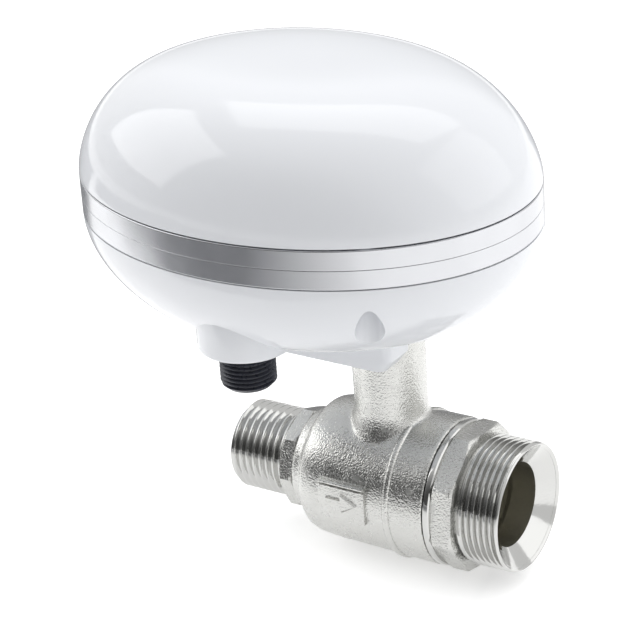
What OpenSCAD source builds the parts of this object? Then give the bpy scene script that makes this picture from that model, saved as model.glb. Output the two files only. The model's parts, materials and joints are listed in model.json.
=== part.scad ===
// Motorized ball valve: nickel-plated brass valve with an oval actuator housing.
// The pipe axis is X, the stem axis is Z, and the origin is the centre of the inlet face.

/* [Inlet end] */
// Major diameter of the inlet thread, G 1/2
inlet_thread_d = 20.955; // [20:0.005:24]
// Length of the inlet thread
inlet_thread_l = 15; // [12:0.5:17]
// Across flats of the octagon beside the inlet thread
inlet_flats = 22.5; // [22:0.1:26]
// Distance from the inlet face to the stem axis
stem_x = 39.5; // [38:0.5:46]

/* [Outlet end] */
// Major diameter of the outlet thread, M30 x 1.5
outlet_thread_d = 30; // [28:0.1:34]
// Length of the outlet thread with its lead-in
outlet_thread_l = 10.3; // [8:0.1:16]
// Across flats of the octagon on the outlet end
outlet_flats = 32; // [31:0.1:36]
// Width of the octagon on the outlet end
outlet_flats_w = 5.4; // [4:0.1:9]
// Diameter of the mouth bore behind the cone seat
mouth_d = 19.6; // [16:0.1:22]
// Depth of the cone seat
cone_depth = 3.6; // [2:0.1:5]

/* [Valve] */
// Diameter of the flow bore
bore_d = 15; // [12:0.1:16]
// Diameter of the ball
ball_d = 25; // [24:0.1:26]
// Diameter of the cast barrel
barrel_d = 34.4; // [34:0.1:40]
// Distance from the stem axis to the end-piece joint
joint_x = 16.7; // [15:0.1:20]
// Diameter of the stem tower
tower_d = 16.86; // [16.5:0.02:20]
// Height of the top of the tower above the pipe axis
tower_top = 38; // [37:0.1:39]
// Diameter of the stem
stem_d = 7; // [6:0.1:7.2]

/* [Housing] */
// Length of the oval housing, along the pipe
housing_l = 109.8; // [106:0.1:132]
// Width of the oval housing, across the pipe
housing_w = 85.2; // [82:0.1:100]
// Distance from the stem axis back to the middle of the housing
housing_back = 18.5; // [16:0.1:20]
// Height of the lower edge of the trim bands above the pipe axis
band_z = 64; // [63.5:0.1:66]
// Height of one trim band
band_h = 4.6; // [4:0.1:6]
// Height of the dome above the bands
dome_h = 25.7; // [24:0.1:34]
// Depth that the bowl would have with no flat on its bottom
bowl_h = 31.1; // [30:0.1:33]
// Height of the flat bottom of the bowl above the pipe axis
floor_z = 42.8; // [41.5:0.1:43]
// Wall of the housing
wall = 2.5; // [2:0.1:3]
// Thickness of a trim band
band_t = 1.8; // [1.2:0.1:2.4]

/* [Connector] */
// Distance from the stem axis to the connector, along the pipe
conn_x = -19.2; // [-22:0.1:-16]
// Distance from the stem axis to the connector, across the pipe
conn_y = -27.3; // [-28:0.1:-26]
// Diameter of the round boss that carries the connector
boss_d = 21.8; // [20:0.1:24]
// Height of the lower face of the boss
boss_z = 42.1; // [41:0.1:44]
// Diameter of the coupling thread
conn_d = 12.8; // [12:0.1:14]
// Height of the lower end of the connector
conn_z = 32.4; // [31:0.1:35]

/* [Gear train] */
// Module of the motor stage
mod_a = 0.6; // [0.5:0.05:0.65]
// Module of the middle stage
mod_b = 0.7; // [0.7:0.05:0.8]
// Module of the output stage
mod_c = 0.8; // [0.7:0.05:0.85]
// Diameter of the motor can
motor_d = 20; // [16:0.5:21]
// Length of the motor can
motor_l = 13; // [10:0.5:13]

/* [Hidden] */
$fn = 64;

// Named clearances
run_gap = 0.05;
seat_gap = 0.08;
fit_gap = 0.1;
reveal = 0.2;

// Valve
ball_r = ball_d / 2;
bore_r = bore_d / 2;
cavity_r = ball_r + 0.5;
seat_r = cavity_r - 2;
seat_back = ball_r;
seat_front = 9.7;
spigot_r = cavity_r + 1.5;
stem_r = stem_d / 2;
collar_r = stem_r + 1.5;
collar_z = ball_r + 0.3;
collar_h = 1.6;
washer_h = 0.8;
tang_z = bore_r + 1.5;
tang_w = 5;
tang_l = 8;
gland_z = tower_top - 2.5;
gland_r = stem_r + 0.9;
stem_seal_z = [22, 27];
seal_tube_r = 0.7;
seal_centre_r = stem_r - seal_tube_r + 0.02;
outlet_x = joint_x + 1.6 + outlet_flats_w + 0.7 + outlet_thread_l;
shoulder_x = -15.8;
neck_x = -18.4;
tower_bolt_r = 6;
bolt_r = 1.25;

// Housing
hl = housing_l / 2;
squeeze = housing_w / housing_l;
seam_z = band_z + 2 * band_h;
mid_z = band_z + band_h;
dome_power = [4, 1.57];
bowl_power = [1.886, 1.914];
profile_steps = 11;
oval_fn = 48;
floor_top = floor_z + wall;
skirt_r = hl - band_t - fit_gap;
skirt_t = 2;
saddle_z = 32.9;
saddle_l = 29.2;
saddle_w = 24.4;
saddle_end = 7.6;
saddle_rise = 2.6;
screw_spots = [[14.4, -29.4], [14.4, 29.4], [-64, 0]];
boss_h = 11;
pocket_r = 3.2;
post_r = 4.8;
head_r = 2.75;
screw_r = 1.5;
head_z = 60.2;
head_h = 2;

// Gearbox
base_z = 60;
plate_h = 2;
gears_z = base_z + plate_h + 0.5;
out_h = 6;
mid_gear_z = gears_z + out_h + 0.5;
mid_gear_h = 3;
big_gear_z = gears_z + 2;
big_gear_h = 3;
top_z = mid_gear_z + mid_gear_h + 1;
out_teeth = 40;
mid_teeth = 40;
big_teeth = 36;
small_teeth = 12;
second_turn = 150;
first_turn = 215;
pinion_turn = 185;
second_dist = mod_c * (out_teeth + small_teeth) / 2;
first_dist = mod_b * (mid_teeth + small_teeth) / 2;
pinion_dist = mod_a * (big_teeth + small_teeth) / 2;
second_at = second_dist * [cos(second_turn), sin(second_turn)];
first_at = second_at + first_dist * [cos(first_turn), sin(first_turn)];
motor_at = first_at + pinion_dist * [cos(pinion_turn), sin(pinion_turn)];
plate_x0 = -57;
plate_x1 = 20;
plate_w = 38;
post_spots = [[-50, -15.5], [-50, 15.5], [14, -15.5], [14, 15.5]];
axle_r = 1.5;
shaft_r = 5;
shaft_top_r = 4;
shaft_z = 47.2;
socket_z = 54;
cam_z = top_z + plate_h + 0.5;
cam_h = 2.5;
shaft_top = cam_z + cam_h + 0.8;
pillar_r = 2.5;

// Electronics
board_z = cam_z + cam_h + 4;
board_h = 1.6;
board_l = 66;
board_w = 46;
board_x = -20;
board_spots = [[-50, -18], [-50, 18], [10, -18], [10, 18]];

pressure = 25;
backlash = 0.16;
function involute(a) = tan(a) * 180 / PI - a;
function flank(r, base, half) = half + involute(pressure) - involute(acos(min(1, base / max(r, base))));
function polar(r, a) = [r * cos(a), r * sin(a)];
// Turn of a gear so that its gap meets the other gear's tooth on the line of centres
function local_phase(turn, phase, teeth) = (turn - phase) * teeth / 360;
function mesh_phase(turn, phase, teeth, other) =
    turn + 180 - (0.5 - local_phase(turn, phase, teeth)) * 360 / other;

second_phase = mesh_phase(second_turn, 0, out_teeth, small_teeth);
first_phase = mesh_phase(first_turn, second_phase, mid_teeth, small_teeth);
pinion_phase = mesh_phase(pinion_turn, first_phase, big_teeth, small_teeth);

module at_stem() { translate([stem_x, 0, 0]) children(); }
module at_housing() { translate([stem_x - housing_back, 0, 0]) children(); }
module along_x(x) { translate([x, 0, 0]) rotate([0, 90, 0]) children(); }
module spots(list) {
    for (p = list) translate([p[0], p[1], 0]) children();
}
module tube(z, h, r_out, r_in) {
    translate([0, 0, z]) difference() {
        cylinder(h = h, r = r_out);
        translate([0, 0, -1]) cylinder(h = h + 2, r = r_in);
    }
}
module disc(z, h, r) { translate([0, 0, z]) cylinder(h = h, r = r); }

// Involute gear outline with a tooth centred on angle 0
module gear_outline(teeth, mod) {
    pitch_r = mod * teeth / 2;
    base = pitch_r * cos(pressure);
    tip = pitch_r + 0.9 * mod;
    root = pitch_r - 1.2 * mod;
    half = 90 / teeth - backlash / 2 / pitch_r * 90 / PI;
    steps = 4;
    start = max(base, root);
    radii = [for (i = [0:steps]) start + (tip - start) * i / steps];
    polygon([for (k = [0:teeth - 1]) each concat(
        [polar(root, k * 360 / teeth - flank(base, base, half))],
        [for (r = radii) polar(r, k * 360 / teeth - flank(r, base, half))],
        [for (i = [0:steps]) polar(radii[steps - i],
            k * 360 / teeth + flank(radii[steps - i], base, half))],
        [polar(root, k * 360 / teeth + flank(base, base, half))])]);
}
module gear(z, h, teeth, mod, phase) {
    translate([0, 0, z]) rotate(phase) linear_extrude(height = h) gear_outline(teeth, mod);
}

// Oval solids of the housing, turned round and squeezed across the pipe
function dome_point(u, l, h) =
    [l * pow(sin(u), 2 / dome_power[0]), h * pow(cos(u), 2 / dome_power[1])];
function bowl_radius(depth, l, h) =
    l * pow(max(0, 1 - pow(depth / h, bowl_power[1])), 1 / bowl_power[0]);
module oval(z, r) {
    translate([0, 0, z]) resize([2 * r, 2 * r * squeeze, 0]) rotate_extrude($fn = oval_fn) children();
}
module oval_plate(z, h, r) {
    translate([0, 0, z]) linear_extrude(height = h) scale([1, squeeze]) circle(r, $fn = 144);
}
module oval_ring(z, h, r_out, t) {
    translate([0, 0, z]) linear_extrude(height = h) scale([1, squeeze]) difference() {
        circle(r_out, $fn = 144);
        circle(r_out - t, $fn = 144);
    }
}
module bowl_section(l, h, z_low) {
    drop = band_z - z_low;
    polygon(concat([[0, 0]],
        [for (i = [0:profile_steps]) let (d = drop * i / profile_steps) [bowl_radius(d, l, h), -d]],
        [[0, -drop]]));
}
module bowl_solid(inset, z_low) {
    oval(band_z, hl - inset) bowl_section(hl - inset, bowl_h - inset, z_low);
}

module top_cover() {
    color("white") at_housing() difference() {
        union() {
            oval(seam_z + reveal, hl) polygon(concat(
                [for (i = [0:profile_steps]) dome_point(90 * i / profile_steps, hl, dome_h)],
                [for (i = [0:profile_steps])
                    dome_point(90 - 90 * i / profile_steps, hl - wall, dome_h - wall)]));
            oval_ring(mid_z + reveal, seam_z - mid_z + 0.6, skirt_r, skirt_t);
            intersection() {
                translate([housing_back, 0, 0]) spots(screw_spots)
                    disc(mid_z + reveal, band_h + dome_h, post_r - 1);
                union() {
                    oval_plate(mid_z, seam_z - mid_z + 0.5, skirt_r);
                    oval(seam_z, hl - 0.5) polygon(concat([[0, 0]],
                        [for (i = [0:profile_steps])
                            dome_point(90 - 90 * i / profile_steps, hl - 0.5, dome_h - 0.5)]));
                }
            }
        }
        translate([housing_back, 0, 0]) spots(screw_spots) disc(mid_z - 1, 8, screw_r);
    }
}

module upper_trim_ring() {
    color("silver") at_housing() oval_ring(mid_z + reveal / 2, band_h - reveal / 2, hl, band_t);
}

module lower_trim_ring() {
    color("silver") at_housing() oval_ring(band_z + reveal / 2, band_h - reveal, hl, band_t);
}

module housing_gasket() {
    color("dimgray") at_stem() difference() {
        translate([-housing_back, 0, 0]) oval_ring(mid_z, reveal, skirt_r - 0.4, skirt_t - 0.8);
        spots(screw_spots) disc(mid_z - 1, 3, screw_r + 0.1);
    }
}

module saddle() {
    corner = 2;
    high = floor_z - saddle_z + 1;
    translate([saddle_end - saddle_l, -saddle_w / 2, saddle_z]) intersection() {
        linear_extrude(high) union() {
            translate([corner, 0]) square([saddle_l - 2 * corner, saddle_w]);
            translate([0, corner]) square([saddle_l, saddle_w - 2 * corner]);
            for (x = [corner, saddle_l - corner]) for (y = [corner, saddle_w - corner])
                translate([x, y]) circle(corner);
        }
        translate([0, saddle_w + 1, 0]) rotate([90, 0, 0]) linear_extrude(saddle_w + 2)
            polygon([[-1, 0], [saddle_l - 0.65 * saddle_rise, 0], [saddle_l, saddle_rise],
                [saddle_l + 1, saddle_rise], [saddle_l + 1, high + 1], [-1, high + 1]]);
    }
}

module lower_housing() {
    color("white") translate([stem_x, 0, 0]) difference() {
        union() {
            difference() {
                translate([-housing_back, 0, 0]) bowl_solid(0, floor_z);
                difference() {
                    translate([-housing_back, 0, 0.01]) bowl_solid(wall, floor_top - 0.01);
                    spots(screw_spots) disc(floor_z - 5, 40, post_r);
                    spots(post_spots) disc(floor_z - 5, base_z - floor_z + 5, 3.5);
                    translate([conn_x, conn_y, boss_z]) cylinder(h = wall, r = boss_d / 2);
                }
            }
            translate([-housing_back, 0, 0])
                oval_ring(band_z - 0.5, mid_z - band_z + 0.5, skirt_r, skirt_t);
            intersection() {
                spots(screw_spots) disc(band_z - 1, mid_z - band_z + 1, post_r - 1);
                translate([-housing_back, 0, 0]) oval_plate(band_z - 1, 10, skirt_r);
            }
            saddle();
            translate([conn_x, conn_y, boss_z]) cylinder(h = boss_h, r = boss_d / 2);
        }
        translate([conn_x, conn_y, boss_z + wall]) cylinder(h = boss_h, r = boss_d / 2 - wall);
        disc(saddle_z - 1, tower_top - saddle_z + 1, tower_d / 2 + run_gap);
        disc(tower_top - 1, 10, stem_r + 0.5);
        for (s = [-1, 1]) translate([0, s * tower_bolt_r, 0]) disc(tower_top - 1, 10, bolt_r + 0.1);
        translate([conn_x, conn_y, 0]) disc(boss_z - 1, 5, conn_d / 2 - 0.9);
        spots(screw_spots) disc(floor_z - 6, head_z + head_h - floor_z + 6, pocket_r);
        spots(screw_spots) disc(head_z, 20, screw_r + 0.1);
        spots(post_spots) disc(base_z - 9, 10, 1.1);
    }
}

module pan_screw(z, head, r_head, r, l) {
    disc(z - head, head, r_head);
    disc(z - 0.1, l + 0.1, r);
}

module housing_screws() {
    color("silver") at_stem() spots(screw_spots) difference() {
        pan_screw(head_z + head_h, head_h, head_r, screw_r, 11);
        for (a = [0, 90]) rotate(a) translate([-1.5, -0.3, head_z - 0.1]) cube([3, 0.6, 1.1]);
    }
}

// Panel connector: flange inside the boss, thread below, open socket with pins
module connector_body() {
    thread_r = conn_d / 2;
    neck_r = thread_r - 1;
    socket_r = thread_r - 1.6;
    color("#22242a") at_stem() translate([conn_x, conn_y, 0]) difference() {
        union() {
            disc(conn_z + 0.8, boss_z - conn_z - 0.8, thread_r);
            translate([0, 0, conn_z]) cylinder(h = 0.8, r1 = thread_r - 0.8, r2 = thread_r);
            disc(boss_z - 0.1, 8.1, neck_r);
        }
        disc(conn_z - 1, 7.5, socket_r);
        disc(boss_z + 1, 10, neck_r - 1.4);
        pins(boss_z - 5, 7);
    }
}

module connector_nut() {
    nut_r = 7.6;
    color("#22242a") at_stem() translate([conn_x, conn_y, boss_z + wall]) difference() {
        cylinder(h = 3, r = nut_r, $fn = 6);
        translate([0, 0, -1]) cylinder(h = 5, r = conn_d / 2 - 1 + fit_gap / 2);
    }
}

module connector_seal() {
    color("black") at_stem() translate([conn_x, conn_y, 0])
        tube(boss_z + wall + 3.1, 1, conn_d / 2 + 0.2, conn_d / 2 - 1 + fit_gap / 2);
}

module pins(z, h) {
    for (a = [45:90:315]) rotate(a) translate([2.6, 0, 0]) disc(z, h, 0.5);
}
module connector_pins() {
    color("gold") at_stem() translate([conn_x, conn_y, 0]) pins(conn_z + 1.6, boss_z - conn_z + 5);
}

module main_board() {
    color("seagreen") at_stem() difference() {
        translate([board_x - board_l / 2, -board_w / 2, board_z]) cube([board_l, board_w, board_h]);
        spots(board_spots) disc(board_z - 1, board_h + 2, 1.3);
    }
}

module board_standoffs() {
    color("gold") at_stem() spots(board_spots) difference() {
        disc(top_z + plate_h, board_z - top_z - plate_h, 2.4);
        disc(board_z - 5, 6, 1.2);
    }
}

module board_screws() {
    color("silver") at_stem() spots(board_spots) {
        disc(board_z + board_h, 1.4, 2.1);
        disc(board_z - 4, board_h + 4.1, 1.15);
    }
}

module motor_relay() {
    color("royalblue") at_stem() translate([-47, -14, board_z + board_h]) cube([15, 19, 9]);
}

module control_chip() {
    color("#303030") at_stem() translate([-20, -6, board_z + board_h]) cube([12, 12, 1.4]);
}

module smoothing_capacitor() {
    color("#20304a") at_stem() translate([0, -8, board_z + board_h]) cylinder(h = 9, r = 4);
}

module motor_header() {
    color("ivory") at_stem() difference() {
        translate([-8, 8, board_z + board_h]) cube([12, 6, 7]);
        translate([-7, 9, board_z + board_h + 1]) cube([10, 4, 7]);
    }
}

module plate(z) {
    translate([plate_x0, -plate_w / 2, z]) cube([plate_x1 - plate_x0, plate_w, plate_h]);
}
pillar_spots = [[-53, -8], [-53, 8], [17, -9.5], [17, 9.5], [-20, -15]];

module gearbox_base() {
    color("lightgray") at_stem() difference() {
        plate(base_z);
        disc(base_z - 1, plate_h + 2, shaft_r + 2);
        spots([first_at, second_at]) disc(base_z - 1, plate_h + 2, axle_r);
        spots([motor_at]) disc(base_z - 1, plate_h + 2, 3.5);
        spots(post_spots) disc(base_z - 1, plate_h + 2, 1.4);
    }
}

module gearbox_top() {
    color("lightgray") at_stem() difference() {
        plate(top_z);
        disc(top_z - 1, plate_h + 2, shaft_top_r + 2);
        spots([first_at, second_at]) disc(top_z - 1, plate_h + 2, axle_r);
    }
}

module gearbox_pillars() {
    color("silver") at_stem() spots(pillar_spots)
        disc(base_z + plate_h, top_z - base_z - plate_h, pillar_r);
}

module gearbox_screws() {
    color("silver") at_stem() spots(post_spots) {
        disc(base_z + plate_h, 1.4, 2.2);
        disc(base_z - 7, 7 + plate_h + 0.1, 1.1);
    }
}

module drive_motor() {
    color("silver") at_stem() spots([motor_at]) difference() {
        union() {
            disc(base_z - motor_l, motor_l, motor_d / 2);
            disc(base_z - 0.1, plate_h, 3.4);
            disc(base_z - motor_l - 1, 1.1, 3);
        }
        disc(base_z - 6, 10, 1 + run_gap);
    }
}

// Pinion pressed on the motor's shaft
module motor_pinion() {
    color("goldenrod") at_stem() spots([motor_at]) {
        gear(big_gear_z, big_gear_h, small_teeth, mod_a, pinion_phase);
        disc(base_z - 5.5, big_gear_z - base_z + 5.6, 1);
    }
}

module first_gear() {
    color("white") at_stem() spots([first_at]) difference() {
        union() {
            gear(big_gear_z, big_gear_h, big_teeth, mod_a, first_phase);
            gear(big_gear_z + big_gear_h - 0.1, mid_gear_z + mid_gear_h - big_gear_z - big_gear_h + 0.1,
                small_teeth, mod_b, first_phase);
        }
        disc(big_gear_z - 1, 20, axle_r + run_gap);
    }
}

module second_gear() {
    color("white") at_stem() spots([second_at]) difference() {
        union() {
            gear(gears_z, mid_gear_z - gears_z + 0.1, small_teeth, mod_c, second_phase);
            gear(mid_gear_z, mid_gear_h, mid_teeth, mod_b, second_phase);
        }
        disc(gears_z - 1, 20, axle_r + run_gap);
    }
}

module gear_axles() {
    color("silver") at_stem() spots([first_at, second_at])
        disc(base_z, top_z + plate_h - base_z, axle_r);
}

module output_gear() {
    color("goldenrod") at_stem() difference() {
        gear(gears_z, out_h, out_teeth, mod_c, 0);
        disc(gears_z - 1, out_h + 2, shaft_r);
        for (a = [60:120:300]) rotate(a) translate([10, 0, 0]) disc(gears_z - 1, out_h + 2, 2.5);
    }
}

module double_d(r, flat, z, h) {
    translate([0, 0, z]) intersection() {
        cylinder(h = h, r = r);
        translate([-flat / 2, -r - 1, 0]) cube([flat, 2 * r + 2, h]);
    }
}

module output_shaft() {
    color("silver") at_stem() difference() {
        union() {
            disc(shaft_z, gears_z + out_h - shaft_z, shaft_r);
            disc(gears_z + out_h - 0.1, shaft_top - gears_z - out_h + 0.1, shaft_top_r);
        }
        double_d(stem_r + run_gap, 5 + 2 * run_gap, shaft_z - 1, socket_z - shaft_z + 1.2);
    }
}

module shaft_bushings() {
    color("#b08040") at_stem() {
        tube(base_z - 1.2, plate_h + 1.2, shaft_r + 2, shaft_r + run_gap);
        tube(top_z, plate_h, shaft_top_r + 2, shaft_top_r + run_gap);
    }
}

module position_cam() {
    color("#303030") at_stem() difference() {
        union() {
            disc(cam_z, cam_h, 7);
            rotate(135) translate([5, 0, cam_z]) cylinder(h = cam_h, r = 3.5);
        }
        disc(cam_z - 1, cam_h + 2, shaft_top_r);
    }
}

// Two snap switches whose buttons the cam reaches at its two stops
module limit_switches() {
    color("#303030") at_stem() for (a = [135, 225]) rotate(a) {
        translate([10.6, -5, top_z + plate_h]) cube([6, 10, 5]);
        translate([8.9, -1, cam_z]) cube([1.8, 2, 2]);
    }
}

module stem_gland_seal() {
    color("black") at_stem() tube(gland_z, tower_top - gland_z, gland_r, stem_r + run_gap);
}

module tower_screws() {
    color("silver") at_stem() for (s = [-1, 1]) translate([0, s * tower_bolt_r, 0]) {
        disc(floor_top, 1.4, 2.1);
        disc(tower_top - 6, floor_top - tower_top + 6.1, bolt_r - 0.05);
    }
}

// Turned outline of the casting, from the inlet octagon to the joint
module barrel_section() {
    r = barrel_d / 2;
    neck_r = inlet_flats / 2 + 0.4;
    curve = -shoulder_x - 11.8;
    steps = 8;
    polygon(concat(
        [[-stem_x + inlet_thread_l, 0], [-stem_x + inlet_thread_l, inlet_thread_d / 2 - 0.2],
         [-stem_x + inlet_thread_l + 3.2, inlet_thread_d / 2 - 0.2],
         [-stem_x + inlet_thread_l + 3.8, neck_r], [neck_x, neck_r], [shoulder_x - 1, neck_r + 1.6]],
        [for (i = [0:steps]) let (t = 90 * i / steps)
            [shoulder_x + curve * (1 - cos(t)), neck_r + 2.4 + (r - neck_r - 2.4) * sin(t)]],
        [[joint_x, r], [joint_x, 0]]));
}

module about_x() { rotate([0, 90, 0]) rotate([0, 0, 90]) rotate_extrude() rotate(90) mirror([0, 1]) children(); }

module flow_arrow() {
    pad_y = -barrel_d / 2 - 0.35;
    translate([-10, pad_y, -4]) cube([12, 2, 9.5]);
    translate([0, pad_y + 0.1, 0.75]) rotate([90, 0, 0]) linear_extrude(0.5)
        polygon([[-8, -0.8], [-3.5, -0.8], [-3.5, -2.4], [0, 0], [-3.5, 2.4], [-3.5, 0.8], [-8, 0.8]]);
}

module valve_body() {
    color("#c9c9c4") at_stem() difference() {
        union() {
            about_x() barrel_section();
            along_x(-stem_x + 0.8) cylinder(h = inlet_thread_l - 0.7, r = inlet_thread_d / 2);
            along_x(-stem_x) cylinder(h = 0.8, r1 = inlet_thread_d / 2 - 0.8, r2 = inlet_thread_d / 2);
            along_x(-stem_x + inlet_thread_l) rotate(0)
                cylinder(h = 3.3, r = inlet_flats / 2 / cos(22.5), $fn = 8);
            along_x(6.5) cylinder(h = 1.4, r = barrel_d / 2 + 0.4);
            disc(10, tower_top - 10, tower_d / 2);
            translate([0, 0, 13]) cylinder(h = 5.5, r1 = tower_d / 2 + 2.4, r2 = tower_d / 2);
            flow_arrow();
        }
        along_x(-stem_x - 1) cylinder(h = stem_x, r = bore_r);
        along_x(-seat_back) cylinder(h = 10, r = seat_r + run_gap);
        along_x(-seat_front) cylinder(h = 30, r = cavity_r);
        along_x(seat_front) cylinder(h = 10, r = spigot_r + run_gap);
        disc(0, collar_z + collar_h + washer_h, collar_r + run_gap);
        disc(0, 60, stem_r + run_gap);
        disc(gland_z, 10, gland_r);
        for (s = [-1, 1]) translate([0, s * tower_bolt_r, 0]) disc(tower_top - 8, 9, bolt_r - 0.05);
    }
}

module outlet_end() {
    thread_r = outlet_thread_d / 2;
    root_r = thread_r - 1.1;
    flats_x = joint_x + 1.6;
    thread_x = outlet_x - outlet_thread_l;
    rim_r = thread_r - 0.6;
    color("#c9c9c4") at_stem() difference() {
        union() {
            along_x(seat_front) cylinder(h = joint_x - seat_front + 0.1, r = spigot_r);
            along_x(joint_x) cylinder(h = 1.7, r = barrel_d / 2 - 0.2);
            along_x(flats_x) rotate(17) cylinder(h = outlet_flats_w, r = outlet_flats / 2 / cos(22.5), $fn = 8);
            along_x(flats_x + outlet_flats_w - 0.1) cylinder(h = 1, r = root_r);
            along_x(thread_x) cylinder(h = outlet_thread_l - 0.6, r = thread_r);
            along_x(outlet_x - 0.6) cylinder(h = 0.6, r1 = thread_r, r2 = rim_r);
        }
        along_x(0) cylinder(h = 60, r = bore_r);
        along_x(seat_front - 1) cylinder(h = seat_back - seat_front + 1, r = seat_r + run_gap);
        along_x(outlet_x - 15) cylinder(h = 20, r = mouth_d / 2);
        along_x(outlet_x - 18) cylinder(h = 3, r1 = bore_r, r2 = mouth_d / 2);
        along_x(outlet_x - cone_depth)
            cylinder(h = cone_depth + 0.01, r1 = mouth_d / 2, r2 = rim_r - 0.5);
        along_x(joint_x - 2.6) difference() {
            cylinder(h = 1.6, r = spigot_r + 1);
            translate([0, 0, -1]) cylinder(h = 4, r = spigot_r - 1.1);
        }
    }
}

module body_seal() {
    color("black") at_stem() along_x(joint_x - 1.8) rotate_extrude()
        translate([spigot_r - 0.55, 0]) circle(0.5);
}

module ball() {
    color("#d8d8d8") at_stem() difference() {
        sphere(r = ball_r);
        along_x(-30) cylinder(h = 60, r = bore_r);
        translate([-tang_w / 2 - run_gap, -15, tang_z]) cube([tang_w + 2 * run_gap, 30, 10]);
    }
}

module ball_seats() {
    color("white") at_stem() for (turn = [90, -90]) rotate([0, turn, 0]) rotate_extrude() difference() {
        translate([bore_r + 0.1, seat_front - 1.2])
            square([seat_r - bore_r - 0.1, seat_back - seat_front + 1.2]);
        circle(ball_r + seat_gap);
    }
}

module stem() {
    color("silver") at_stem() difference() {
        union() {
            intersection() {
                translate([-tang_w / 2, -tang_l / 2, tang_z + 0.2])
                    cube([tang_w, tang_l, collar_z - tang_z]);
                disc(0, 20, collar_r - 0.2);
            }
            disc(collar_z, collar_h, collar_r);
            disc(collar_z + collar_h - 0.1, shaft_z - collar_z - collar_h, stem_r);
            double_d(stem_r, 5, shaft_z - 0.2, socket_z - shaft_z);
        }
        for (z = stem_seal_z) tube(z - 1, 2, stem_r + 1, stem_r - 1.4);
    }
}

module stem_seals() {
    color("black") at_stem() for (z = stem_seal_z) translate([0, 0, z])
        rotate_extrude() translate([seal_centre_r, 0]) circle(seal_tube_r);
}

module thrust_washer() {
    color("ivory") at_stem()
        tube(collar_z + collar_h + 0.03, washer_h - 0.03, collar_r, stem_r + run_gap);
}

top_cover();
upper_trim_ring();
lower_trim_ring();
housing_gasket();
lower_housing();
housing_screws();
connector_body();
connector_nut();
connector_seal();
connector_pins();
main_board();
board_standoffs();
board_screws();
motor_relay();
control_chip();
smoothing_capacitor();
motor_header();
gearbox_base();
gearbox_top();
gearbox_pillars();
gearbox_screws();
drive_motor();
motor_pinion();
first_gear();
second_gear();
gear_axles();
output_gear();
output_shaft();
shaft_bushings();
position_cam();
limit_switches();
stem_gland_seal();
tower_screws();
valve_body();
outlet_end();
body_seal();
ball();
ball_seats();
stem();
stem_seals();
thrust_washer();
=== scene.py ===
import json
from math import cos, hypot, pi, radians, sin, sqrt

import bmesh
import bpy
from mathutils import Matrix, Vector


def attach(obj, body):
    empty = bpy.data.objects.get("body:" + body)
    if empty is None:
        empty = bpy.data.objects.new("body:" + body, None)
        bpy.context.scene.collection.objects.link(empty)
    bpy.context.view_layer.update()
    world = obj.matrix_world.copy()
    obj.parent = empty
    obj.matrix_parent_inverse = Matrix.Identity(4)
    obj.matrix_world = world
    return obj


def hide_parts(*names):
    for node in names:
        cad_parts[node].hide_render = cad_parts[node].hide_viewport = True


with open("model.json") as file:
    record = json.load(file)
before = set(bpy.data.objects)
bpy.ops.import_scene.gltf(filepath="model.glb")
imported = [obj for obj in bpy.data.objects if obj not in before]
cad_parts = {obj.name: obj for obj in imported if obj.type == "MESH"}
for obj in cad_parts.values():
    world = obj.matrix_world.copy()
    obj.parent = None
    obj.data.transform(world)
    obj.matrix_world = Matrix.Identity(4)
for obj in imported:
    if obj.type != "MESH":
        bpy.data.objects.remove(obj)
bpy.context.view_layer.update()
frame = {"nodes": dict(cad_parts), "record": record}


# Valve body. A hot-forged brass casting, shot-blasted and nickel-plated, with its inlet end
# turned and threaded G 1/2. The stem tower, a parting rib and a flow-arrow pad are cast on.

def linear(hex_colour):
    """The linear colour of an sRGB hex string."""
    values = [int(hex_colour[i:i + 2], 16) / 255 for i in (1, 3, 5)]
    return [v / 12.92 if v <= 0.04045 else ((v + 0.055) / 1.055) ** 2.4 for v in values] + [1]


def add(tree, kind, inputs=None, **settings):
    """Adds a node. A socket value links to it and any other value is set on it."""
    node = tree.nodes.new(kind)
    for key, value in settings.items():
        setattr(node, key, value)
    for key, value in (inputs or {}).items():
        if isinstance(value, bpy.types.NodeSocket):
            tree.links.new(value, node.inputs[key])
        else:
            node.inputs[key].default_value = value
    return node


def surface(name, colour, rough, metallic=0.0, ior=1.5):
    """A Principled material with nothing but constants. Returns it, its tree and its shader."""
    made = bpy.data.materials.new(name)
    made.use_nodes = True
    tree = made.node_tree
    tree.nodes.clear()
    shader = add(tree, "ShaderNodeBsdfPrincipled", {
        "Base Color": linear(colour), "Roughness": rough, "Metallic": metallic, "IOR": ior})
    out = add(tree, "ShaderNodeOutputMaterial")
    tree.links.new(shader.outputs["BSDF"], out.inputs["Surface"])
    return made, tree, shader


def noise(tree, size_mm, detail=2.0, rough=0.5, stretch=None):
    """Noise whose features are size_mm across, on Object coordinates in metres."""
    place = add(tree, "ShaderNodeTexCoord").outputs["Object"]
    if stretch:
        mapping = add(tree, "ShaderNodeMapping", {"Vector": place, "Scale": stretch})
        place = mapping.outputs["Vector"]
    return add(tree, "ShaderNodeTexNoise", {
        "Vector": place, "Scale": 1000 / size_mm, "Detail": detail, "Roughness": rough})


def ranged(tree, value, low, high, start=0.3, end=0.7):
    """Maps a noise's middle range onto low..high."""
    node = add(tree, "ShaderNodeMapRange", {
        "Value": value, "From Min": start, "From Max": end, "To Min": low, "To Max": high})
    return node.outputs["Result"]


def bump(tree, shader, height, depth_mm, normal=None):
    """Bumps the shader's normal by a height of 0..1 that is depth_mm deep."""
    node = add(tree, "ShaderNodeBump", {"Height": height, "Distance": depth_mm / 1000})
    if normal:
        tree.links.new(normal, node.inputs["Normal"])
    tree.links.new(node.outputs["Normal"], shader.inputs["Normal"])
    return node.outputs["Normal"]


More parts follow.
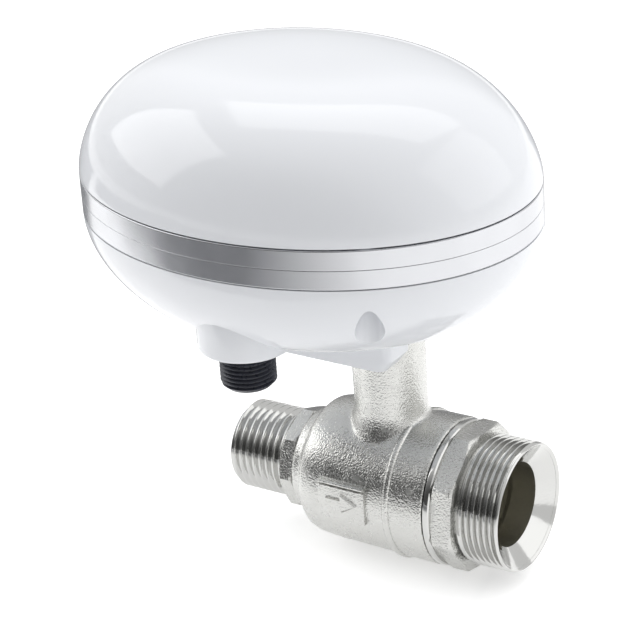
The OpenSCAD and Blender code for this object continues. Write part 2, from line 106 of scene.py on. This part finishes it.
def roughened(tree, shader, size_mm, low, high):
    """Varies the shader's roughness between low and high by a noise."""
    varied = ranged(tree, noise(tree, size_mm).outputs["Fac"], low, high)
    tree.links.new(varied, shader.inputs["Roughness"])


def cast_nickel():
    made, tree, shader = surface("cast_nickel", "#c8c8c5", 0.22, 1.0)
    roughened(tree, shader, 2.4, 0.19, 0.29)
    first = bump(tree, shader, noise(tree, 0.42, 1.0, 0.5).outputs["Fac"], 0.14)
    bump(tree, shader, noise(tree, 3.5).outputs["Fac"], 0.05, first)
    return made


def turned_nickel():
    made, tree, shader = surface("turned_nickel", "#c8c8c6", 0.11, 1.0)
    roughened(tree, shader, 1.5, 0.08, 0.14)
    bump(tree, shader, noise(tree, 0.9, 1.0).outputs["Fac"], 0.012)
    return made


def revolve(bm, profile, steps=128, squeeze=1.0):
    """Turns a closed outline of (radius, height) about Z. Returns the new vertices."""
    angles = [2 * pi * k / steps for k in range(steps)]
    columns = [[bm.verts.new((r * cos(a), r * sin(a) * squeeze, h)) for r, h in profile]
               for a in angles]
    rows = len(profile)
    for k in range(steps):
        near, far = columns[k], columns[(k + 1) % steps]
        for j in range(rows):
            i = (j + 1) % rows
            bm.faces.new((near[j], far[j], far[i], near[i]))
    return [v for column in columns for v in column]


def helix(bm, form, pitch, length, root, depth, inner, lead=0.0, tail=0.0, steps=144):
    """A threaded tube along Z from 0 to length. form lists (share of pitch, share of depth)."""
    rows = len(form)
    spans = form + [(1.0, form[0][1])]

    def radius(z, turn):
        t = (z / pitch - turn) % 1.0
        for (a, fa), (b, fb) in zip(spans, spans[1:]):
            if t <= b:
                share = fa + (fb - fa) * (t - a) / (b - a)
                break
        r = root + depth * share
        if z < lead:
            r = min(r, root + depth - (lead - z))
        if z > length - tail:
            r = min(r, root + depth - (z - length + tail))
        return r

    columns = []
    for i in range(steps):
        turn = i / steps
        heights = [pitch * (k + part + turn)
                   for k in range(-1, int(length / pitch) + 3) for part, _ in form]
        heights = [min(max(z, 0.0), length) for z in heights]
        columns.append([bm.verts.new((radius(z, turn) * cos(2 * pi * turn),
                                      radius(z, turn) * sin(2 * pi * turn), z)) for z in heights])
    count = len(columns[0])
    rims = [[bm.verts.new((inner * cos(2 * pi * i / steps), inner * sin(2 * pi * i / steps), z))
             for i in range(steps)] for z in (0.0, length)]
    for i in range(steps):
        j = (i + 1) % steps
        shift = rows if j == 0 else 0
        near, far = columns[i], columns[j]
        for m in range(count - 1 - shift):
            bm.faces.new((near[m], far[m + shift], far[m + 1 + shift], near[m + 1]))
        bm.faces.new((near[0], rims[0][i], rims[0][j], far[0]))
        bm.faces.new((near[-1], far[-1], rims[1][j], rims[1][i]))
        bm.faces.new((rims[0][i], rims[1][i], rims[1][j], rims[0][j]))
    return [v for column in columns + rims for v in column]


def octagon(bm, across, length, phase, corner_r, inner, steps=12):
    """An eight-sided nut along Z whose corners are turned back to corner_r at both ends."""
    angles = [radians(phase + 45 * k + 45 * i / steps) for k in range(8) for i in range(steps)]
    ease, slope = 0.7, 1.6
    cuts = [0.0, 0.12, 0.25, 0.4, 0.55, ease]
    heights = cuts + [length - c for c in reversed(cuts)]

    def radius(angle, z):
        part = (angle - radians(phase)) % radians(45) - radians(22.5)
        flat = across / 2 / cos(part)
        edge = min(z, length - z)
        return min(flat, corner_r + edge * slope)

    rings = [[bm.verts.new((radius(a, z) * cos(a), radius(a, z) * sin(a), z)) for a in angles]
             for z in heights]
    rings = [[bm.verts.new((inner * cos(a), inner * sin(a), 0.0)) for a in angles]] + rings
    rings.append([bm.verts.new((inner * cos(a), inner * sin(a), length)) for a in angles])
    n = len(angles)
    for low, high in zip(rings, rings[1:] + rings[:1]):
        for i in range(n):
            bm.faces.new((low[i], low[(i + 1) % n], high[(i + 1) % n], high[i]))
    return [v for ring in rings for v in ring]


def box(bm, low, high, bevel):
    """A block between two corners, with its edges rounded."""
    size = [b - a for a, b in zip(low, high)]
    middle = [(a + b) / 2 for a, b in zip(low, high)]
    verts = bmesh.ops.create_cube(bm, size=1.0)["verts"]
    bmesh.ops.scale(bm, vec=size, verts=verts)
    bmesh.ops.translate(bm, vec=middle, verts=verts)
    edges = list({e for v in verts for e in v.link_edges})
    bmesh.ops.bevel(bm, geom=edges, offset=bevel, segments=2, profile=0.5, affect="EDGES",
                    material=-1, clamp_overlap=True)


def move(bm, verts, x=0.0, y=0.0, z=0.0, along_x=False):
    """Lays verts along the pipe if asked, then moves them."""
    turn = Matrix.Rotation(pi / 2, 4, "Y") if along_x else Matrix.Identity(4)
    bmesh.ops.transform(bm, matrix=Matrix.Translation((x, y, z)) @ turn, verts=verts)


STEM_X = 39.5  # millimetres from the inlet face to the stem


def mesh_of(bm, name):
    """Makes a mesh in metres from the inlet face, from a bmesh in millimetres from the stem."""
    weld = 0.002
    bmesh.ops.remove_doubles(bm, verts=bm.verts[:], dist=weld)
    bmesh.ops.dissolve_degenerate(bm, edges=bm.edges[:], dist=weld / 2)
    bmesh.ops.recalc_face_normals(bm, faces=bm.faces[:])
    bmesh.ops.transform(bm, verts=bm.verts[:],
                        matrix=Matrix.Scale(0.001, 4) @ Matrix.Translation((STEM_X, 0, 0)))
    mesh = bpy.data.meshes.new(name)
    bm.to_mesh(mesh)
    bm.free()
    return mesh


def placed(name, data):
    """A new object in the scene."""
    made = bpy.data.objects.new(name, data)
    bpy.context.scene.collection.objects.link(made)
    return made


def baked(holder):
    """The mesh of a helper object with its modifiers applied. The object is removed."""
    shaped = holder.evaluated_get(bpy.context.evaluated_depsgraph_get())
    made = bpy.data.meshes.new_from_object(shaped)
    bpy.data.objects.remove(holder)
    return made


def piece(mesh, name, body, materials, nodes, sharp=35):
    """Turns a mesh into a piece that rides on a CAD body and stands for CAD nodes."""
    made = placed(name, mesh)
    for material in materials:
        mesh.materials.append(material)
    mesh.polygons.foreach_set("use_smooth", [True] * len(mesh.polygons))
    mesh.set_sharp_from_angle(angle=radians(sharp))
    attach(made, body)
    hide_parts(*nodes)
    return made


def evaluated(mesh, modifiers):
    """Applies a list of (type, settings) modifiers to a mesh and returns the new mesh."""
    holder = placed("holder", mesh)
    for kind, settings in modifiers:
        modifier = holder.modifiers.new(kind.lower(), kind)
        for key, value in settings.items():
            setattr(modifier, key, value)
    return baked(holder)


ROOT = "valve_and_housing"
CAST = cast_nickel()
TURNED = turned_nickel()

bm = bmesh.new()
outside = [(11.2, -21.5), (11.9, -21.0), (12.3, -20.4), (12.4, -19.2), (12.7, -18.3),
           (13.4, -17.7), (14.6, -17.25), (15.4, -16.75), (15.95, -15.9), (16.35, -14.4),
           (16.6, -12.4), (16.75, -9.0), (16.85, -2.0), (16.9, 6.0), (17.15, 8.4), (17.2, 16.1),
           (17.0, 16.6)]
inside = [(14.55, 16.7), (14.55, 9.7), (13.0, 9.7), (13.0, -9.7), (11.0, -9.7), (11.0, -12.5),
          (7.5, -12.5), (7.5, -21.5)]
move(bm, revolve(bm, outside + inside, 160), along_x=True)
tower = [(3.6, 13.3), (10.2, 13.3), (9.8, 14.6), (9.15, 15.9), (8.75, 17.2), (8.5, 18.4),
         (8.43, 19.6), (8.43, 37.6), (8.1, 38.0), (4.45, 38.0), (4.45, 35.5), (3.6, 35.5)]
revolve(bm, tower, 120)
cast = evaluated(mesh_of(bm, "cast"), [("REMESH", {"mode": "VOXEL", "voxel_size": 0.0004})])


def near_foot(p):
    """How much the cast skin at p is softened: most along the foot of the tower."""
    barrel_r, lift, spread = 16.9, 0.4, 2.2
    if p.z < 13.2 or not 7 <= hypot(p.x, p.y) <= 13:
        return 0.0
    barrel_z = sqrt(max(0.0, barrel_r ** 2 - p.y ** 2))
    return max(0.0, 1.0 - abs(p.z - barrel_z - lift) / spread)


holder = placed("cast", cast)
soft = holder.vertex_groups.new(name="foot")
for v in cast.vertices:
    weight = near_foot(Vector((v.co.x * 1000 - STEM_X, v.co.y * 1000, v.co.z * 1000)))
    if weight > 0:
        soft.add([v.index], weight, "REPLACE")
for name, iterations, group in (("overall", 3, ""), ("foot", 10, "foot")):
    smooth = holder.modifiers.new(name, "SMOOTH")
    smooth.factor = 0.5
    smooth.iterations = iterations
    smooth.vertex_group = group
cast = baked(holder)
cast.materials.clear()

bm = bmesh.new()
bm.from_mesh(cast)
bmesh.ops.transform(bm, verts=bm.verts[:],
                    matrix=Matrix.Translation((-STEM_X, 0, 0)) @ Matrix.Scale(1000, 4))
flats = octagon(bm, across=22.5, length=3.3, phase=2, corner_r=11.6, inner=7.5)
move(bm, flats, x=-24.6, along_x=True)
rib = [(16.7, 6.3), (17.1, 6.4), (17.4, 6.6), (17.55, 6.85), (17.6, 7.15), (17.6, 7.4),
       (17.55, 7.65), (17.4, 7.9), (17.1, 8.1), (16.7, 8.2)]
move(bm, revolve(bm, rib, 160), along_x=True)
box(bm, (-10.2, -17.5, -4.0), (2.0, -14.5, 5.5), 0.35)
for low_z, high_z in ((4.1, 4.7), (5.0, 5.6)):
    box(bm, (-10.2, -18.0, low_z), (2.0, -16.5, high_z), 0.22)
# The arrow's face is drawn in a little toward its middle, so its sides slope as cast.
arrow = [(-8.2, -0.15), (-3.9, -0.15), (-3.9, -2.0), (0.3, 0.75), (-3.9, 3.5), (-3.9, 1.65),
         (-8.2, 1.65)]
arrow_x, arrow_z = -4.0, 0.75
front = [bm.verts.new((arrow_x + (x - arrow_x) * 0.88, -18.15, arrow_z + (z - arrow_z) * 0.72))
         for x, z in arrow]
rear = [bm.verts.new((x, -17.3, z)) for x, z in arrow]
bm.faces.new(front)
bm.faces.new(rear[::-1])
for i in range(len(arrow)):
    j = (i + 1) % len(arrow)
    bm.faces.new((front[j], front[i], rear[i], rear[j]))
cast_faces = len(bm.faces)
bmesh.ops.recalc_face_normals(bm, faces=bm.faces[:])

thread_form = [(0.0, 0.97), (0.07, 1.0), (0.14, 0.97), (0.2, 0.84), (0.46, 0.1), (0.53, 0.02),
               (0.6, 0.0), (0.67, 0.02), (0.74, 0.1)]
thread = helix(bm, thread_form, pitch=1.814, length=15.1, root=9.32, depth=1.16, inner=7.5,
               lead=1.0)
move(bm, thread, x=-STEM_X, along_x=True)
bm.faces.ensure_lookup_table()
for f in bm.faces[cast_faces:]:
    f.material_index = 1
piece(mesh_of(bm, "valve_body"), "valve_body_skin", ROOT, [CAST, TURNED],
      ["valve_body"])


# Outlet end. A second brass forging screwed into the body over the ball and seats: a turned
# collar, eight spanner flats left as cast, an M30 x 1.5 thread and a machined cone mouth.
def bore_brass_painted_shade():
    """Metal darker and duller than the plating outside, given to the bore as painted shade for its
    deep recess.
    """
    made, tree, shader = surface("bore_brass_painted_shade", "#a8a598", 0.42, 1.0)
    roughened(tree, shader, 1.2, 0.36, 0.52)
    bump(tree, shader, noise(tree, 0.5, 2.0, 0.5, (1, 0.1, 0.1)).outputs["Fac"], 0.02)
    return made


bm = bmesh.new()
collar = [(14.0, 9.75), (14.45, 9.75), (14.45, 16.75), (16.7, 16.75), (16.95, 16.95),
          (17.0, 17.3), (16.95, 18.1), (16.6, 18.35), (13.8, 18.35), (13.8, 25.0), (9.8, 25.0),
          (9.8, 19.7), (7.5, 16.7), (7.5, 12.5), (11.0, 12.5), (11.0, 9.75)]
move(bm, revolve(bm, collar, 144), along_x=True)
thread_form = [(0.0, 1.0), (0.2, 1.0), (0.46, 0.06), (0.54, 0.0), (0.66, 0.0), (0.74, 0.06)]
thread = helix(bm, thread_form, pitch=1.5, length=10.0, root=14.0, depth=1.0, inner=13.8,
               lead=0.5, tail=0.15)
move(bm, thread, x=24.2, along_x=True)
mouth = [(9.8, 24.0), (9.8, 31.05), (14.3, 34.55), (14.42, 34.66), (14.55, 34.7), (14.68, 34.62),
         (14.9, 34.15), (14.0, 34.1), (14.0, 24.0)]
move(bm, revolve(bm, mouth, 144), along_x=True)
# Faces inside the bore take the darker metal: painted shade down the recess.
bore_r = 9.9
for f in bm.faces:
    f.material_index = 2 if max(hypot(v.co.y, v.co.z) for v in f.verts) < bore_r else 1
flats = octagon(bm, across=32.0, length=5.3, phase=17, corner_r=16.3, inner=13.0)
move(bm, flats, x=18.3, along_x=True)
piece(mesh_of(bm, "outlet_end"), "outlet_end_skin", ROOT,
      [CAST, TURNED, bore_brass_painted_shade()], ["outlet_end"])


# Lower housing. Injection-moulded glossy white ABS: an oval bowl with a squared saddle round the
# valve's tower, a round boss for the cable connector and three deep screw pockets.

LONG, SHORT = 54.9, 42.6  # the oval's half length and half width
BACK, WALL = 18.5, 2.5  # how far its centre lies behind the stem, and its wall
CONNECTOR_X, CONNECTOR_Y = -19.2, -27.3


def glossy_abs():
    made, tree, shader = surface("gloss_white_abs", "#eceef2", 0.09, 0.0, 1.54)
    roughened(tree, shader, 9.0, 0.07, 0.12)
    bump(tree, shader, noise(tree, 14.0, 1.0).outputs["Fac"], 0.02)
    return made


def bowl_radius(depth, inset=0.0):
    """The bowl's half length at a depth below its rim, less an inset for its inner face."""
    high = 31.1 - inset
    return (LONG - inset) * max(0.0, 1 - (depth / high) ** 1.914) ** (1 / 1.886)


def solid(bm, name):
    """A helper object for a boolean, from a closed bmesh in millimetres."""
    return placed(name, mesh_of(bm, name))


def boolean(operation, other):
    """One boolean step for evaluated()."""
    return "BOOLEAN", {"operation": operation, "object": other, "solver": "EXACT"}


WHITE = glossy_abs()
floor_z, top_z = 42.8, 64.0
SCREWS = ((14.4, -29.4), (14.4, 29.4), (-64.0, 0.0))
bm = bmesh.new()
depths = [18.2 * sin(pi / 2 * i / 40) for i in range(41)]
outer = [(bowl_radius(0.1), top_z - 0.1)] + [(bowl_radius(d), top_z - d) for d in depths[1:]]
edge_r = outer[-1][0]
outer += [(edge_r - 0.8, 45.27), (edge_r - 1.9, 44.66), (edge_r - 3.3, 44.02),
          (edge_r - 4.9, 43.46), (edge_r - 6.8, 43.04), (edge_r - 9.0, 42.84),
          (edge_r - 11.5, floor_z), (0.0, floor_z)]
rim = [(0.0, 68.5), (53.0, 68.5), (53.0, top_z)]
move(bm, revolve(bm, outer + rim, 200, squeeze=SHORT / LONG), x=-BACK)
bowl = solid(bm, "bowl")

bm = bmesh.new()
inner = [(0.0, floor_z + WALL), (edge_r - 8.4, floor_z + WALL)]
inner += [(min(51.0, bowl_radius(d, WALL)), top_z - d) for d in reversed(depths[:-4])]
move(bm, revolve(bm, inner + [(51.0, 69.5), (0.0, 69.5)], 200, squeeze=SHORT / LONG), x=-BACK)
inside = solid(bm, "inside")
posts = []
for x, y in SCREWS:
    bm = bmesh.new()
    move(bm, revolve(bm, [(0, 38), (4.8, 38), (4.8, 66.5), (0, 66.5)], 64), x=x, y=y)
    posts.append(solid(bm, "post"))
cavity_mesh = evaluated(inside.data, [boolean("DIFFERENCE", post) for post in posts])
cavity = placed("cavity", cavity_mesh)

bm = bmesh.new()
boss_form = [(0.0, 42.1), (10.1, 42.1), (10.55, 42.25), (10.8, 42.55), (10.9, 43.0), (10.9, 53.0),
             (0.0, 53.0)]
move(bm, revolve(bm, boss_form, 96), x=CONNECTOR_X, y=CONNECTOR_Y)
boss = solid(bm, "boss")

bm = bmesh.new()
side = [(-21.6, 32.9), (5.9, 32.9), (7.6, 35.5), (7.6, 44.4), (-21.6, 44.4)]
half_width = 12.2
near = [bm.verts.new((x, -half_width, z)) for x, z in side]
far = [bm.verts.new((x, half_width, z)) for x, z in side]
bm.faces.new(near)
bm.faces.new(far[::-1])
for i in range(5):
    bm.faces.new((near[i], far[i], far[(i + 1) % 5], near[(i + 1) % 5]))
corner = [e for e in bm.edges if abs(e.verts[0].co.y - e.verts[1].co.y) < 1
          and abs(e.verts[0].co.z - e.verts[1].co.z) > 1]
bmesh.ops.bevel(bm, geom=corner, offset=2.0, segments=8, profile=0.5, affect="EDGES", material=-1)
under = [e for e in bm.edges if e.calc_face_angle(0.0) > 0.5
         and max(v.co.z for v in e.verts) < 36.0]
bmesh.ops.bevel(bm, geom=under, offset=0.3, segments=3, profile=0.5, affect="EDGES", material=-1)
saddle = solid(bm, "saddle")

# Screw pockets, screw holes, the tower's seat, the shaft's hole and the connector's two steps.
holes = [(x, y, 36, 62.2, 3.2) for x, y in SCREWS] + [(x, y, 30, 70, 1.5) for x, y in SCREWS]
holes += [(0, 0, 30, 38, 8.48), (0, 0, 37, 50, 4.0), (CONNECTOR_X, CONNECTOR_Y, 40, 47, 5.5),
          (CONNECTOR_X, CONNECTOR_Y, 44.6, 52.9, 8.4)]
cuts = []
for x, y, low_z, high_z, r in holes:
    bm = bmesh.new()
    move(bm, revolve(bm, [(0, low_z), (r, low_z), (r, high_z), (0, high_z)], 64), x=x, y=y)
    cuts.append(solid(bm, "cut"))
steps = [boolean("DIFFERENCE", cavity), boolean("UNION", boss), boolean("UNION", saddle)]
joined = evaluated(bowl.data, steps + [boolean("DIFFERENCE", cut) for cut in cuts])
for helper in [bowl, boss, saddle, inside, cavity] + cuts + posts:
    bpy.data.objects.remove(helper)
joined.materials.clear()
piece(joined, "lower_housing_skin", ROOT, [WHITE], ["lower_housing"], sharp=28)


# Trim rings. Two satin silver plated bands pressed round the seam, one on each half, so that
# a fine line shows between them and against the white mouldings above and below.
def satin_band():
    made, tree, shader = surface("satin_band", "#c9cacd", 0.24, 1.0)
    roughened(tree, shader, 5.0, 0.22, 0.27)
    brushed = noise(tree, 6.0, 2.0, 0.5, (1, 1, 30)).outputs["Fac"]
    bump(tree, shader, brushed, 0.0015)
    return made


def band(low, high, low_edge, high_edge):
    """The section of one trim ring, its outer edges broken by the two sizes given."""
    inner = 53.1
    return [(LONG - low_edge, low), (LONG - low_edge * 0.3, low + low_edge * 0.4),
            (LONG, low + low_edge), (LONG, high - high_edge),
            (LONG - high_edge * 0.3, high - high_edge * 0.4), (LONG - high_edge, high),
            (inner, high), (inner, low)]


SATIN = satin_band()
for name, section in (("lower_trim_ring", band(64.15, 68.53, 0.2, 0.08)),
                      ("upper_trim_ring", band(68.6, 73.05, 0.08, 0.2))):
    bm = bmesh.new()
    move(bm, revolve(bm, section, 256, squeeze=SHORT / LONG), x=-BACK)
    piece(mesh_of(bm, name), name + "_skin", ROOT, [SATIN], [name], sharp=15)


# Top cover. The same glossy white ABS, a flattened oval dome with a skirt that drops inside the
# bands and screw posts that reach down to the lower housing.
def dome_point(share, inset=0.0):
    """A point of the dome's section, from its top at share 0 to its rim at share 1."""
    u = pi / 2 * share
    return ((LONG - inset) * sin(u) ** (2 / 4), (25.7 - inset) * max(0.0, cos(u)) ** (2 / 1.57))


bm = bmesh.new()
seam_z = 73.4
shares = [(i / 44) ** 1.5 for i in range(45)]
outer = [dome_point(s) for s in shares]
outer = [(r, seam_z + h) for r, h in outer if h > 0.12]
outer += [(LONG - 0.05, seam_z + 0.08), (LONG - 0.2, seam_z)]
inner = [dome_point(s, WALL) for s in reversed(shares)]
inner = [(r, seam_z + h) for r, h in inner if h > 0.2]
skirt = [(52.95, seam_z), (52.95, 68.8), (51.0, 68.8), (51.0, seam_z + 0.1)]
move(bm, revolve(bm, outer + skirt + inner, 200, squeeze=SHORT / LONG), x=-BACK)
for x, y in SCREWS:
    move(bm, revolve(bm, [(1.5, 68.8), (3.4, 68.8), (3.4, 77.5), (1.5, 77.5)], 40), x=x, y=y)
piece(mesh_of(bm, "top_cover"), "top_cover_skin", ROOT, [WHITE], ["top_cover"],
      sharp=50)


# Cable connector. Black glass-filled nylon, a 12.6 mm thread of 1 mm pitch below the boss with
# an open socket round four contacts.
def nylon():
    made, tree, shader = surface("black_nylon", "#34363f", 0.3, 0.0, 1.53)
    roughened(tree, shader, 0.8, 0.25, 0.36)
    bump(tree, shader, noise(tree, 0.35, 1.0).outputs["Fac"], 0.004)
    return made


NYLON = nylon()
bm = bmesh.new()
ridges = [(0.0, 0.9), (0.1, 1.0), (0.2, 0.9), (0.42, 0.12), (0.5, 0.0), (0.62, 0.0), (0.72, 0.12)]
thread = helix(bm, ridges, pitch=1.0, length=9.6, root=5.5, depth=0.8, inner=4.8, lead=1.1)
move(bm, thread, x=-19.4, y=-27.4, z=32.45)
web = [(0.0, 39.6), (4.9, 39.6), (4.9, 42.0), (5.4, 42.05), (5.4, 50.1), (4.0, 50.1), (4.0, 43.1),
       (0.0, 43.1)]
move(bm, revolve(bm, web, 96), x=CONNECTOR_X, y=CONNECTOR_Y)
piece(mesh_of(bm, "connector"), "connector_body_skin", ROOT, [NYLON],
      ["connector_body"])


# Inner parts. Everything sealed inside the housing and the valve keeps its CAD shape and gets the
# finish of its material slot: steel, brass, bronze, acetal, rubber, PTFE, board and cases.
def inner_finish(name, colour, rough, metallic=0.0, grain=1.5, depth=0.01, ior=1.5):
    made, tree, shader = surface(name, colour, rough, metallic, ior)
    roughened(tree, shader, grain, rough * 0.8, rough * 1.25)
    bump(tree, shader, noise(tree, grain / 3).outputs["Fac"], depth)
    return made


finishes = {
    "steel": inner_finish("zinc_steel", "#b9babc", 0.3, 1.0),
    "gold_brass": inner_finish("turned_brass", "#c9a55a", 0.22, 1.0),
    "bronze": inner_finish("sintered_bronze", "#9c6f3f", 0.4, 1.0, 0.6, 0.03),
    "ivory_plastic": inner_finish("ivory_acetal", "#e8e2cf", 0.4, 0.0, 2.0),
    "black_rubber": inner_finish("black_rubber", "#1a1a1b", 0.7, 0.0, 0.5, 0.02),
    "white_ptfe": inner_finish("white_ptfe", "#ecebe6", 0.5, 0.0, 1.0, 0.01, 1.35),
    "board_green": inner_finish("board_green", "#1e5b35", 0.35, 0.0, 1.2),
    "blue_case": inner_finish("blue_case", "#24489a", 0.35, 0.0, 1.0),
    "dark_sleeve": inner_finish("dark_sleeve", "#1c2230", 0.35, 0.0, 2.0),
    "chrome_ball": inner_finish("chrome_ball", "#d9dadb", 0.06, 1.0, 4.0, 0.002),
    "black_nylon": NYLON, "gloss_white": WHITE, "satin_band": SATIN, "nickel_brass": TURNED,
}
slots = {s["node"]: s["material_slot"] for s in frame["record"]["subparts"]}
for node, shown in frame["nodes"].items():
    shown.data.materials.clear()
    shown.data.materials.append(finishes[slots[node]])


# Studio. A white floor that glows a little, soft lights at both sides and above, a camera above
# the outlet, and two grey cards and a graded room that only reflections and the light see.
FLOOR_Z, CARD_Z = -0.0181, -0.0178
floor_mat, tree, shader = surface("studio_floor", "#ffffff", 0.12, 0.0, 1.45)
shader.inputs["Emission Color"].default_value = (1, 1, 1, 1)
path = add(tree, "ShaderNodeLightPath")
seen = add(tree, "ShaderNodeMath", {
    0: path.outputs["Is Camera Ray"], 1: path.outputs["Is Glossy Ray"]}, operation="MAXIMUM")
seen_glow, plain_glow = 0.3, 0.12
glow = add(tree, "ShaderNodeMath", {0: seen.outputs["Value"], 1: seen_glow, 2: plain_glow},
           operation="MULTIPLY_ADD")
tree.links.new(glow.outputs["Value"], shader.inputs["Emission Strength"])
roughened(tree, shader, 60.0, 0.1, 0.14)
bm = bmesh.new()
bmesh.ops.create_grid(bm, x_segments=1, y_segments=1, size=2.5)
mesh = bpy.data.meshes.new("floor")
bm.to_mesh(mesh)
bm.free()
mesh.materials.append(floor_mat)
mesh.transform(Matrix.Translation((0.04, 0, FLOOR_Z)))
floor_obj = placed("studio_floor", mesh)

grey_card, tree, shader = surface("grey_card", "#77787b", 0.7, 0.0, 1.45)
roughened(tree, shader, 40.0, 0.65, 0.75)
spot = add(tree, "ShaderNodeTexCoord").outputs["Object"]
along = add(tree, "ShaderNodeSeparateXYZ", {"Vector": spot}).outputs["X"]
share = ranged(tree, along, 0.0, 1.0, start=-0.03, end=0.12)
graded = add(tree, "ShaderNodeMix", {0: share, 6: linear("#7c7d80"), 7: linear("#ffffff")},
             data_type="RGBA")
tree.links.new(graded.outputs[2], shader.inputs["Base Color"])
bm = bmesh.new()
left_card = [(-0.7, -0.6), (0.14, -0.6), (0.14, -0.135), (-0.16, -0.135), (-0.35, 0.0), (-0.7, 0.0)]
right_card = [(-0.7, 0.045), (0.02, 0.045), (0.02, 0.7), (-0.7, 0.7)]
for outline in (left_card, right_card):
    bm.faces.new([bm.verts.new((x, y, CARD_Z)) for x, y in outline])
mesh = bpy.data.meshes.new("grey_card")
bm.to_mesh(mesh)
bm.free()
mesh.materials.append(grey_card)
card = placed("grey_card", mesh)
card.visible_camera = card.visible_shadow = card.visible_diffuse = False

world = bpy.data.worlds.new("studio")
bpy.context.scene.world = world
world.use_nodes = True
tree = world.node_tree
tree.nodes.clear()
around = add(tree, "ShaderNodeTexCoord").outputs["Generated"]
toward = add(tree, "ShaderNodeVectorMath", {0: around, 1: (-0.12, -0.96, -0.24)},
             operation="DOT_PRODUCT")
fall = add(tree, "ShaderNodeMapRange", {
    "Value": toward.outputs["Value"], "From Min": 0.15, "From Max": 0.86,
    "To Min": 0.86, "To Max": 0.08}, interpolation_type="SMOOTHSTEP")
behind = add(tree, "ShaderNodeVectorMath", {0: around, 1: (-0.42, 0.9, 0.08)},
             operation="DOT_PRODUCT")
dip = add(tree, "ShaderNodeMapRange", {
    "Value": behind.outputs["Value"], "From Min": 0.88, "From Max": 0.98,
    "To Min": 1.0, "To Max": 0.4}, interpolation_type="SMOOTHSTEP")
both = add(tree, "ShaderNodeMath", {0: fall.outputs["Result"], 1: dip.outputs["Result"]},
           operation="MULTIPLY")
path = add(tree, "ShaderNodeLightPath")
shown = add(tree, "ShaderNodeMath", {
    0: both.outputs["Value"], 1: path.outputs["Is Camera Ray"]}, operation="MAXIMUM")
background = add(tree, "ShaderNodeBackground", {
    "Color": (1, 1, 1, 1), "Strength": shown.outputs["Value"]})
out = add(tree, "ShaderNodeOutputWorld")
tree.links.new(background.outputs["Background"], out.inputs["Surface"])


def area(name, place, aim, size, power):
    """A rectangular lamp at a place, turned to an aim, of a size in metres and a power in watts."""
    light = bpy.data.lights.new(name, "AREA")
    light.shape = "RECTANGLE"
    light.size, light.size_y = size
    light.energy = power
    made = placed(name, light)
    made.location = place
    made.rotation_mode = "QUATERNION"
    made.rotation_quaternion = (Vector(aim) - Vector(place)).to_track_quat("-Z", "Y")
    return made


area("soft_left", (-0.65, -0.2, 0.5), (0.02, 0, 0.06), (0.7, 0.6), 2.1)
area("soft_right", (0.65, 0.25, 0.45), (0.02, 0, 0.06), (0.75, 0.65), 1.1)
area("soft_top", (-0.05, 0.3, 0.85), (0.02, 0, 0.05), (0.9, 0.5), 1.7)

camera = bpy.data.cameras.new("camera")
camera.sensor_width = 36
camera.lens = 151.94
camera.clip_start, camera.clip_end = 0.01, 10
eye = placed("camera", camera)
azimuth, elevation, roll = radians(34.10), radians(25.21), radians(-4.11)
back = Vector((sin(azimuth) * cos(elevation), -cos(azimuth) * cos(elevation), sin(elevation)))
level = Vector((cos(azimuth), sin(azimuth), 0))
rise = back.cross(level)
right = level * cos(roll) + rise * sin(roll)
up = rise * cos(roll) - level * sin(roll)
# Where the foot of the stem's axis lies in the view, as slopes from its middle, and how deep.
across, down, distance = (396.054 - 320) / 2701.13, (475.596 - 320) / 2701.13, 0.621444
offset = Vector((across, -down, -1)) * distance
place = -(right * offset.x + up * offset.y + back * offset.z) + Vector((STEM_X / 1000, 0, 0))
eye.matrix_world = Matrix.Translation(place) @ Matrix((right, up, back)).transposed().to_4x4()
bpy.context.scene.camera = eye
bpy.context.scene.view_settings.view_transform = "Standard"
